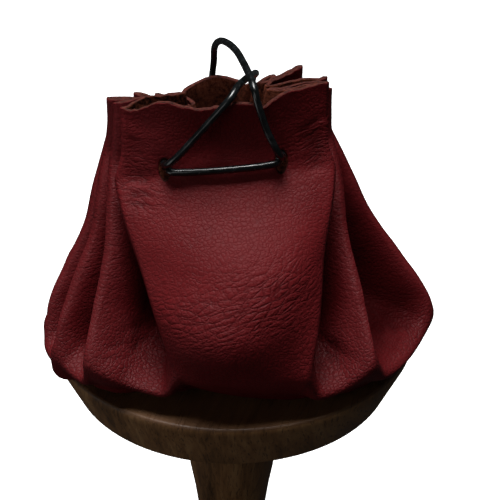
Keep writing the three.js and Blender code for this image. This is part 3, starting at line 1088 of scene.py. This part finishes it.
    def sheet(self) -> bpy.types.Object:
        """Makes the flat blank as a grid and gathers it.

        Returns:
            The leather's middle surface, still without thickness.
        """
        columns = 2 * self.fold_steps * (len(self.FOLDS) - 1) + self.panel_steps
        flats = self.row_flats()
        rows = len(flats) - 1
        deselect_all()
        bpy.ops.mesh.primitive_grid_add(x_subdivisions=columns, y_subdivisions=rows, size=1)
        piece = bpy.context.object
        piece.name = piece.data.name = "gathered_leather"
        lift = Vector((0, 0, STAND_TOP + self.seat_gap + self.thickness / 2))
        first = self.SECTIONS["base_middle"].flat
        rings: list[list[Vector]] = []
        trough_shades: list[list[float]] = []
        for flat in flats:
            place = self.place_of(max(first, flat))
            rings.append([p * min(1.0, flat / first) for p in self.ring(place)])
            trough_shades.append(self.trough_shade(place))
        # Painted shade of the fold troughs, one value per point, for the material to darken them.
        painted_trough_shade = [0.0] * len(piece.data.vertices)
        for vertex in piece.data.vertices:
            column = round((vertex.co.x + 0.5) * columns) % columns
            row = round((vertex.co.y + 0.5) * rows)
            vertex.co = (rings[row][column] + lift) * MM
            painted_trough_shade[vertex.index] = trough_shades[row][column]
        store(piece.data, "painted_trough_shade", painted_trough_shade)
        self.weld(piece)
        return piece

    def weld(self, piece: bpy.types.Object) -> None:
        """Joins the blank's two sides and its middle, and eases the folds.

        Args:
            piece: The gathered blank.
        """
        activate(piece)
        edit_all()
        bpy.ops.mesh.remove_doubles(threshold=self.weld_gap * MM)
        bpy.ops.mesh.dissolve_degenerate(threshold=self.least_edge * MM)
        bpy.ops.mesh.vertices_smooth(factor=self.ease, repeat=self.ease_rounds)
        bpy.ops.object.mode_set(mode="OBJECT")

    def wrinkle(self, piece: bpy.types.Object) -> None:
        """Presses tucks, hollows and a soft unevenness into the sheet, marks where its fine creases are, and keeps
        the tuck lines as a mask for painted shade.

        Args:
            piece: The leather's middle surface.
        """
        mesh = piece.data
        normals = [vertex.normal.copy() for vertex in mesh.vertices]
        marks = {kind: [0.0] * len(mesh.vertices) for kind in Relief}
        lines = [0.0] * len(mesh.vertices)
        for index, vertex in enumerate(mesh.vertices):
            point = vertex.co / MM - Vector((0, 0, STAND_TOP))
            for kind, patches in self.CREASES.items():
                marks[kind][index] = sum(patch.at(point) for patch in patches)
            uneven = ripple(point, self.UNEVEN) * clamp((point.z - self.uneven_from) / self.uneven_over)
            away = [(point - hole).length for hole in self.HOLES.values()]
            dimple = sum(self.dimple_depth * bell(way, self.dimple_reach) for way in away)
            tucked = [tuck.at(point) for tuck in self.TUCKS]
            lines[index] = max(tucked) ** 2
            pressed = sum(tucked) + sum(hollow.at(point) for hollow in self.HOLLOWS)
            vertex.co += normals[index] * (uneven - dimple - pressed) * MM
            vertex.co.y += sum(lean.at(point) for lean in self.LEANS) * MM
            ragged = clamp((point.z - self.ragged_from) / self.ragged_over) * ripple(point, self.RAGGED)
            vertex.co.z += (ragged + sum(lift.at(point) for lift in self.LIFTS)) * MM
        for kind, values in marks.items():
            store(mesh, kind.value, [min(1.0, value) for value in values])
        # The mask of the tuck lines, where the material lays painted shade.
        store(mesh, "pressed", lines)
        mesh.update()

    def rub(self, piece: bpy.types.Object) -> None:
        """Marks the high places, where the colour is painted paler: partly rubbed wear and partly painted highlight.

        Args:
            piece: The leather's middle surface.
        """
        mesh = piece.data
        shape = bmesh.new()
        shape.from_mesh(mesh)
        wear_and_highlight = [0.0] * len(shape.verts)
        for vertex in shape.verts:
            ring = [edge.other_vert(vertex).co for edge in vertex.link_edges]
            mean = sum(ring, Vector()) / max(1, len(ring))
            height = (vertex.co - mean).dot(vertex.normal) / MM
            wear_and_highlight[vertex.index] = clamp(height * self.wear_and_highlight_gain)
        shape.free()
        store(mesh, "wear_and_highlight", wear_and_highlight)

    def thicken(self, piece: bpy.types.Object) -> None:
        """Gives the sheet its wall, with suede inside and the cut edge at the rim.

        Args:
            piece: The leather's middle surface.
        """
        solid = piece.modifiers.new("wall", "SOLIDIFY")
        solid.thickness = self.thickness * MM
        solid.offset = 0.0
        solid.use_quality_normals = True
        solid.material_offset = Side.SUEDE.value
        solid.material_offset_rim = Side.EDGE.value
        apply_modifier(piece, solid)

    def punch(self, piece: bpy.types.Object) -> None:
        """Punches the two front holes as upright ovals.

        Args:
            piece: The leather with its wall.
        """
        for name, hole in self.HOLES.items():
            deselect_all()
            bpy.ops.mesh.primitive_cylinder_add(vertices=self.hole_sides, radius=0.5, depth=self.punch_length * MM)
            punch = bpy.context.object
            edit_all()
            bpy.ops.transform.resize(value=(self.hole_width * MM, self.hole_height * MM, 1))
            bpy.ops.object.mode_set(mode="OBJECT")
            punch.rotation_euler = (math.pi / 2, 0, 0)
            punch.location = placed(hole)
            bpy.ops.object.transform_apply(location=True, rotation=True, scale=True)
            punch.data.materials.append(piece.data.materials[Side.EDGE.value])
            cut = piece.modifiers.new(f"punch_{name}", "BOOLEAN")
            cut.operation = "DIFFERENCE"
            cut.solver = "EXACT"
            cut.material_mode = "TRANSFER"
            cut.object = punch
            apply_modifier(piece, cut)
            bpy.data.objects.remove(punch, do_unlink=True)

    def build(self) -> bpy.types.Object:
        """Builds and dresses the pouch.

        Returns:
            The finished piece.
        """
        piece = self.sheet()
        self.wrinkle(piece)
        self.rub(piece)
        finishes = {Side.GRAIN: GrainLeather(), Side.SUEDE: Suede(), Side.EDGE: CutEdge()}
        for side in Side:
            piece.data.materials.append(finishes[side].material())
        self.thicken(piece)
        self.punch(piece)
        activate(piece)
        bpy.ops.object.shade_smooth()
        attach(piece, "root")
        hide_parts("pouch_body")
        return piece


# The lace


@dataclass
class Lace:
    """The drawstring: its threaded stretch and its free pull loop.

    Measures are in millimetres, heights from the stand's top.
    """

    diameter: float = 2.0
    sides: int = 14
    step: float = 0.8
    left_x: float = -18.1
    right_x: float = 13.4
    panel_y: float = -22.0
    hole_z: float = 63.6
    rise: float = 1.2
    inside: float = 4.0
    outside: float = 2.2
    bow: float = 0.9
    front_slant: float = 0.02
    corner: float = 2.2
    inset: float = 0.8
    turn_radius: float = 16.0
    turn_steps: int = 8
    turn_start_y: float = -13.0
    curve_steps: int = 24

    # The pull loop's way, from the left hole over the mouth, down behind and back to the right hole.
    LOOP_POINTS = (
        (-18.3, -18.3, 64.1),
        (-18.3, -22, 64.1),
        (-17.1, -25.2, 65.3),
        (-14.2, -26.4, 68.4),
        (-9.6, -26.2, 73.6),
        (-4.4, -25.8, 79.6),
        (-0.6, -24.8, 83.8),
        (1.5, -20.8, 85.7),
        (3.6, -15, 85.6),
        (5.4, -7, 83.4),
        (6.6, 1, 80.8),
        (6.8, 8.4, 78.2),
        (6.4, 14.8, 75),
        (5.8, 19.8, 68),
        (7.4, 25.8, 57),
        (10, 34, 46),
        (9.4, 42, 37.2),
        (5, 48.2, 31.4),
        (-1, 50, 29.8),
        (-7, 46.6, 33),
        (-9.4, 39, 40),
        (-9, 31, 49.4),
        (-7.8, 26, 59),
        (-6.4, 23.8, 68),
        (-5.4, 22.2, 76),
        (-5, 17.8, 82.6),
        (-3.4, 11.2, 86.8),
        (-1.1, 4.4, 88.6),
        (1.2, -2.6, 89),
        (2.9, -9.6, 88.6),
        (4.6, -17.4, 87.8),
        (5.8, -23, 86.2),
        (6.9, -25, 82.4),
        (9.2, -25.7, 75.6),
        (11.3, -26.6, 71.4),
        (12.8, -26.2, 68.3),
        (13.5, -23.6, 66.8),
        (13.5, -20.6, 66.6),
        (13.5, -18.3, 66.6),
    )

    def point(self, pouch: Pouch, x: float, y: float, rise: float) -> Vector:
        """Returns a point of the threaded stretch at its height on the tilted neck."""
        return Vector((x, y, self.hole_z + rise + pouch.neck_tilt * (x - pouch.neck_x)))

    def turn(self, pouch: Pouch, side: int) -> list[Vector]:
        """One turn round the neck, from the right hole to the left.

        Args:
            pouch: The pouch that it draws.
            side: 1 for the strand that starts above the pair's middle, -1 for the other.

        Returns:
            The turn's points.
        """
        middle, reach = (self.left_x + self.right_x) / 2, (self.right_x - self.left_x) / 2
        end_y = self.panel_y + self.inside
        rise = side * self.rise
        points = [self.point(pouch, self.right_x, y, rise) for y in (end_y, self.turn_start_y)]
        for k in range(self.turn_steps + 1):
            angle = math.pi * k / self.turn_steps
            out = rise * math.sin(angle)
            x = middle + (reach + out) * math.cos(angle)
            y = pouch.neck_y + (self.turn_radius + out) * math.sin(angle)
            points.append(self.point(pouch, x, y, rise * math.cos(angle)))
        return points + [self.point(pouch, self.left_x, y, -rise) for y in (self.turn_start_y, end_y)]

    def threaded_route(self, pouch: Pouch) -> list[Vector]:
        """The threaded stretch: a turn, across the front, and a second turn.

        Args:
            pouch: The pouch that it draws.

        Returns:
            The stretch's points.
        """
        front = self.panel_y - self.outside
        middle = (self.left_x + self.right_x) / 2
        across = (
            (self.left_x + self.inset, front + self.corner),
            (self.left_x + self.inset + self.corner, front),
            (middle, front - self.bow),
            (self.right_x - self.inset - self.corner, front),
            (self.right_x - self.inset, front + self.corner),
        )
        front_run = [self.point(pouch, x, y, self.front_slant * (x - middle)) for x, y in across]
        return self.turn(pouch, 1) + front_run + self.turn(pouch, -1)

    def smooth(self, route: Sequence[Vector]) -> list[Vector]:
        """Spaces points evenly along a smooth curve through a route.

        Args:
            route: Points in millimetres above the stand.

        Returns:
            The curve's points in metres.
        """
        fine = [
            Vector([hermite([p[axis] for p in route], k / self.curve_steps) for axis in range(3)])
            for k in range(self.curve_steps * (len(route) - 1) + 1)
        ]
        length = path_length(fine)
        count = round(length / self.step)
        points, walked, index = [fine[0]], 0.0, 0
        for k in range(1, count):
            target = length * k / count
            while walked + (fine[index + 1] - fine[index]).length < target:
                walked += (fine[index + 1] - fine[index]).length
                index += 1
            part = (target - walked) / (fine[index + 1] - fine[index]).length
            points.append(fine[index].lerp(fine[index + 1], part))
        points.append(fine[-1])
        return [placed(point) for point in points]

    def tube(self, name: str, path: Sequence[Vector]) -> bpy.types.Object:
        """Sweeps the lace's round section along a path.

        Args:
            name: The piece's name.
            path: Points in metres.

        Returns:
            A closed tube whose UV map runs round and along it.
        """
        shape = bmesh.new()
        uv = shape.loops.layers.uv.new("lay")
        tangents = [(path[min(k + 1, len(path) - 1)] - path[max(k - 1, 0)]).normalized() for k in range(len(path))]
        normal = tangents[0].orthogonal().normalized()
        radius = self.diameter / 2 * MM
        angles = [2 * math.pi * k / self.sides for k in range(self.sides)]
        rings: list[list[bmesh.types.BMVert]] = []
        for point, tangent in zip(path, tangents):
            normal = (normal - tangent * normal.dot(tangent)).normalized()
            side = tangent.cross(normal)
            spokes = [normal * math.cos(a) + side * math.sin(a) for a in angles]
            rings.append([shape.verts.new(point + radius * spoke) for spoke in spokes])
        around = math.pi * self.diameter
        for row, (low, high) in enumerate(zip(rings, rings[1:])):
            for k in range(self.sides):
                after = (k + 1) % self.sides
                face = shape.faces.new((low[k], low[after], high[after], high[k]))
                for loop, (u, v) in zip(face.loops, ((k, row), (k + 1, row), (k + 1, row + 1), (k, row + 1))):
                    loop[uv].uv = (u / self.sides, v * self.step / around)
        shape.faces.new(reversed(rings[0]))
        shape.faces.new(rings[-1])
        mesh = bpy.data.meshes.new(name)
        shape.to_mesh(mesh)
        shape.free()
        piece = bpy.data.objects.new(name, mesh)
        bpy.context.collection.objects.link(piece)
        activate(piece)
        bpy.ops.object.shade_smooth()
        return piece

    def build(self, pouch: Pouch) -> list[bpy.types.Object]:
        """Builds and dresses both stretches.

        Args:
            pouch: The pouch that the lace draws.

        Returns:
            The threaded stretch and the pull loop.
        """
        finish = WaxedLace().material()
        threaded_path = self.smooth(self.threaded_route(pouch))
        loop_path = self.smooth([Vector(p) for p in self.LOOP_POINTS])
        threaded = self.tube("threaded_lace", threaded_path)
        loop = self.tube("pull_loop", loop_path)
        for piece, node in ((threaded, "lace_threaded"), (loop, "lace_loop")):
            piece.data.materials.append(finish)
            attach(piece, "root")
            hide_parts(node)
        return [threaded, loop]


# The stand


@dataclass
class TurnedPiece:
    """One lathe-turned piece of the stand, from its outline of radius and height in millimetres."""

    name: str
    node: str
    grain: Grain
    outline: Sequence[tuple[float, float]]
    sides: int = 128
    crisp_angle: float = 32.0

    def build(self) -> bpy.types.Object:
        """Builds and dresses the piece.

        Returns:
            The finished piece.
        """
        radius, z = self.outline[0]
        deselect_all()
        bpy.ops.mesh.primitive_circle_add(
            vertices=self.sides, radius=radius * MM, location=(0, 0, z * MM), fill_type="NGON"
        )
        piece = bpy.context.object
        piece.name = piece.data.name = self.name
        bpy.ops.object.transform_apply(location=True)
        edit_all()
        for next_radius, next_z in self.outline[1:]:
            bpy.ops.mesh.extrude_region_move(TRANSFORM_OT_translate={"value": (0, 0, (next_z - z) * MM)})
            scale = next_radius / radius
            bpy.ops.transform.resize(value=(scale, scale, 1))
            radius, z = next_radius, next_z
        bpy.ops.mesh.select_all(action="SELECT")
        bpy.ops.mesh.normals_make_consistent(inside=False)
        bpy.ops.object.mode_set(mode="OBJECT")
        bpy.ops.object.shade_smooth_by_angle(angle=math.radians(self.crisp_angle))
        piece.data.materials.append(TurnedWood(self.grain).material())
        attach(piece, "root")
        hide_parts(self.node)
        return piece


@dataclass
class Stand:
    """The turned stand: a round top on a waisted post with a plain foot. Measures are in millimetres."""

    top_radius: float = 56.0
    top_edge: float = 17.0
    underside_radius: float = 50.0
    edge_round: float = 0.9
    foot_radius: float = 40.0
    foot_edge: float = 9.0
    fit_gap: float = 0.3
    post_rows: int = 40
    round_steps: int = 5

    # The post's share of the way up and its radius there.
    POST = ((0.0, 14.0), (0.12, 11.6), (0.3, 10.2), (0.5, 12.2), (0.66, 14.5), (1.0, 17.3))

    def rounded(self, radius: float, z: float, size: float, start: float, stop: float) -> list[tuple[float, float]]:
        """Points round a quarter turn of an edge.

        Args:
            radius: The arc centre's radius.
            z: The arc centre's height.
            size: The arc's own radius.
            start: First angle in degrees from straight out.
            stop: Last angle.

        Returns:
            Radius and height pairs.
        """
        count = self.round_steps
        angles = [math.radians(start + (stop - start) * k / count) for k in range(count + 1)]
        return [(radius + size * math.cos(a), z + size * math.sin(a)) for a in angles]

    def post_outline(self) -> list[tuple[float, float]]:
        """The post's smooth outline.

        Returns:
            Radius and height pairs.
        """
        low, high = self.foot_edge + self.fit_gap, STAND_TOP - self.top_edge - self.fit_gap
        outline: list[tuple[float, float]] = []
        for k in range(self.post_rows + 1):
            place = (len(self.POST) - 1) * k / self.post_rows
            share, radius = (hermite([row[axis] for row in self.POST], place) for axis in (0, 1))
            outline.append((radius, low + (high - low) * share))
        return outline

    def build(self) -> list[bpy.types.Object]:
        """Builds the three pieces.

        Returns:
            The top, the post and the foot.
        """
        soft = self.edge_round
        under, rim = STAND_TOP - self.top_edge, STAND_TOP - 3 * soft
        top = [
            *self.rounded(self.underside_radius - soft, under + soft, soft, -90, -15),
            (self.top_radius, rim),
            *self.rounded(self.top_radius - soft, STAND_TOP - soft, soft, 0, 90),
        ]
        foot = [
            (self.foot_radius - soft, 0.0),
            *self.rounded(self.foot_radius - soft, soft, soft, -75, 0),
            *self.rounded(self.foot_radius - 2 * soft, self.foot_edge - 2 * soft, 2 * soft, 0, 90),
        ]
        return [
            TurnedPiece("turned_top", "stand_top", Grain.ACROSS, top).build(),
            TurnedPiece("turned_post", "stand_post", Grain.UPRIGHT, self.post_outline()).build(),
            TurnedPiece("turned_foot", "stand_foot", Grain.ACROSS, foot).build(),
        ]


# The studio


@dataclass(frozen=True)
class SoftLight:
    """A square soft light: where it hangs and its side, in metres, and its power in watts."""

    place: Triple
    side: float
    power: float


@dataclass
class Studio:
    """Pale floor, soft lights and the camera.

    The camera's place and the lights' aim are in millimetres, the floor's side is in metres.
    """

    lens: float = 88.07
    sensor: float = 36.0
    pitch: float = 29.61
    camera_y: float = -321.2
    camera_rise: float = 207.2
    axis_pixel: float = 231.83
    floor_size: float = 8.0
    floor_glow: float = 1.1
    floor_colour: Colour = (0.9, 0.9, 0.9)
    floor_roughness: float = 0.9
    room_light: float = 0.03
    aim_rise: float = 40.0

    LIGHTS = {
        "above": SoftLight((-0.06, 0.0, 1.1), 0.46, 12.3),
        "front": SoftLight((-0.7, -1.1, 0.75), 0.7, 1.4),
        "bounce": SoftLight((-0.62, -0.3, 0.05), 0.4, 0.5),
    }

    def build(self) -> None:
        """Builds the whole studio."""
        self.floor()
        for name, light in self.LIGHTS.items():
            self.hang(name, light)
        self.world()
        self.camera()
        bpy.context.scene.view_settings.view_transform = "Standard"

    def floor(self) -> None:
        """Lays the pale floor."""
        deselect_all()
        bpy.ops.mesh.primitive_plane_add(size=self.floor_size)
        floor = bpy.context.object
        floor.name = "floor"
        bench = Bench("pale_floor")
        white = (*self.floor_colour, 1.0)
        bench.dress(
            Base_Color=white,
            Roughness=self.floor_roughness,
            Emission_Color=white,
            Emission_Strength=self.floor_glow,
        )
        floor.data.materials.append(bench.material)
        floor.visible_diffuse = False
        floor.visible_glossy = False

    def hang(self, name: str, light: SoftLight) -> None:
        """Hangs a light so that it faces the pouch.

        Args:
            name: The light's name.
            light: The light.
        """
        lamp = bpy.data.lights.new(name, "AREA")
        lamp.size = light.side
        lamp.energy = light.power
        holder = bpy.data.objects.new(name, lamp)
        holder.location = light.place
        aim = Vector((0, 0, (STAND_TOP + self.aim_rise) * MM)) - Vector(light.place)
        holder.rotation_euler = aim.to_track_quat("-Z", "Y").to_euler()
        bpy.context.collection.objects.link(holder)

    def world(self) -> None:
        """Fills the room with a little even light."""
        world = bpy.data.worlds.new("room")
        bpy.context.scene.world = world
        world.use_nodes = True
        background = world.node_tree.nodes["Background"]
        background.inputs["Color"].default_value = (1, 1, 1, 1)
        background.inputs["Strength"].default_value = self.room_light

    def camera(self) -> None:
        """Sets up the camera at the photograph's angle."""
        lens = bpy.data.cameras.new("camera")
        lens.sensor_fit = "VERTICAL"
        lens.sensor_height = self.sensor
        lens.lens = self.lens
        lens.shift_x = (IMAGE_WIDTH / 2 - self.axis_pixel) / IMAGE_HEIGHT
        holder = bpy.data.objects.new("camera", lens)
        holder.location = (0, self.camera_y * MM, (STAND_TOP + self.camera_rise) * MM)
        holder.rotation_euler = (math.radians(90 - self.pitch), 0, 0)
        bpy.context.collection.objects.link(holder)
        bpy.context.scene.camera = holder


def main() -> None:
    """Builds every piece in order and reports it."""
    logging.basicConfig(level=logging.INFO, format="%(message)s")
    pouch = Pouch()
    pieces = [*Stand().build(), pouch.build(), *Lace().build(pouch)]
    Studio().build()
    for piece in pieces:
        LOG.info("%s: %d faces", piece.name, len(piece.data.polygons))


if __name__ == "__main__":
    main()
